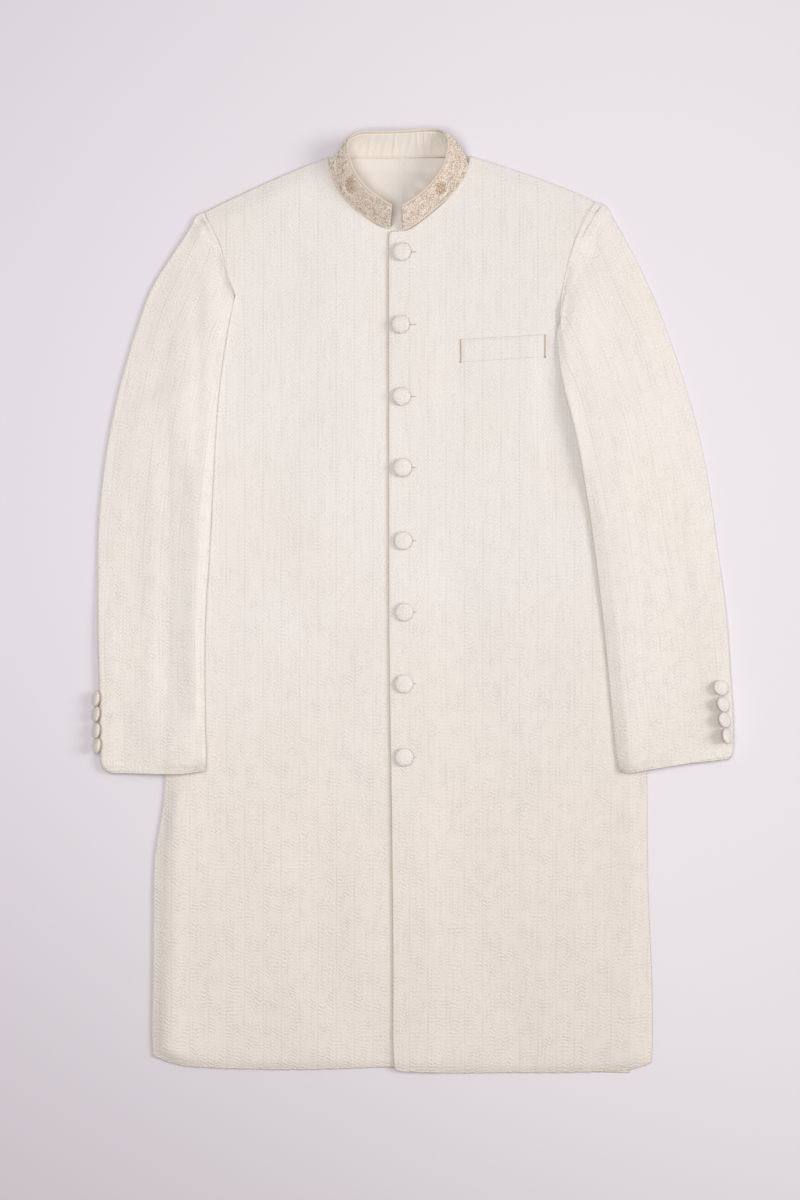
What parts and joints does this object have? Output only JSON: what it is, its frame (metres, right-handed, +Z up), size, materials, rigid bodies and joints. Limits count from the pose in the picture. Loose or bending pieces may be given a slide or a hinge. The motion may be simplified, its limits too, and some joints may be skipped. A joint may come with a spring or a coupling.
{
  "type": "sherwani coat",
  "caption": "Long ivory sherwani coat laid flat on its back and buttoned, with an embroidered stand collar, covered buttons and a breast welt.",
  "frame": {"origin": "on the flat underside of the back, on the line of the buttons, half way between the collar's top and the hem", "axes": "+X towards the wearer's left, +Y from the hem to the collar, +Z up from the surface that the coat lies on"},
  "size_m": [0.7364, 1.0797, 0.0375],
  "materials": {
    "front_left": "ivory self-patterned fabric, matt with a soft sheen",
    "front_right": "ivory self-patterned fabric, matt with a soft sheen",
    "back": "ivory self-patterned fabric, matt with a soft sheen",
    "sleeve_left_top": "ivory self-patterned fabric, matt with a soft sheen",
    "sleeve_left_under": "ivory self-patterned fabric, matt with a soft sheen",
    "sleeve_right_top": "ivory self-patterned fabric, matt with a soft sheen",
    "sleeve_right_under": "ivory self-patterned fabric, matt with a soft sheen",
    "pocket_welt": "ivory self-patterned fabric, matt with a soft sheen",
    "collar": "dense beige and pale gold embroidery",
    "collar_facing": "plain ivory fabric",
    "back_lining": "ivory satin",
    "front_button_1": "button covered in the ivory fabric",
    "front_button_2": "button covered in the ivory fabric",
    "front_button_3": "button covered in the ivory fabric",
    "front_button_4": "button covered in the ivory fabric",
    "front_button_5": "button covered in the ivory fabric",
    "front_button_6": "button covered in the ivory fabric",
    "front_button_7": "button covered in the ivory fabric",
    "front_button_8": "button covered in the ivory fabric",
    "cuff_button_left_1": "button covered in the ivory fabric",
    "cuff_button_left_2": "button covered in the ivory fabric",
    "cuff_button_left_3": "button covered in the ivory fabric",
    "cuff_button_left_4": "button covered in the ivory fabric",
    "cuff_button_right_1": "button covered in the ivory fabric",
    "cuff_button_right_2": "button covered in the ivory fabric",
    "cuff_button_right_3": "button covered in the ivory fabric",
    "cuff_button_right_4": "button covered in the ivory fabric"
  },
  "bodies": {
    "root": {"front_left": "front_left", "front_right": "front_right", "back": "back", "sleeve_left_top": "sleeve_left_top", "sleeve_left_under": "sleeve_left_under", "sleeve_right_top": "sleeve_right_top", "sleeve_right_under": "sleeve_right_under", "pocket_welt": "pocket_welt", "collar": "collar", "collar_facing": "collar_facing", "back_lining": "back_lining", "front_button_1": "front_button_1", "front_button_2": "front_button_2", "front_button_3": "front_button_3", "front_button_4": "front_button_4", "front_button_5": "front_button_5", "front_button_6": "front_button_6", "front_button_7": "front_button_7", "front_button_8": "front_button_8", "cuff_button_left_1": "cuff_button_left_1", "cuff_button_left_2": "cuff_button_left_2", "cuff_button_left_3": "cuff_button_left_3", "cuff_button_left_4": "cuff_button_left_4", "cuff_button_right_1": "cuff_button_right_1", "cuff_button_right_2": "cuff_button_right_2", "cuff_button_right_3": "cuff_button_right_3", "cuff_button_right_4": "cuff_button_right_4"}
  },
  "joints": []
}
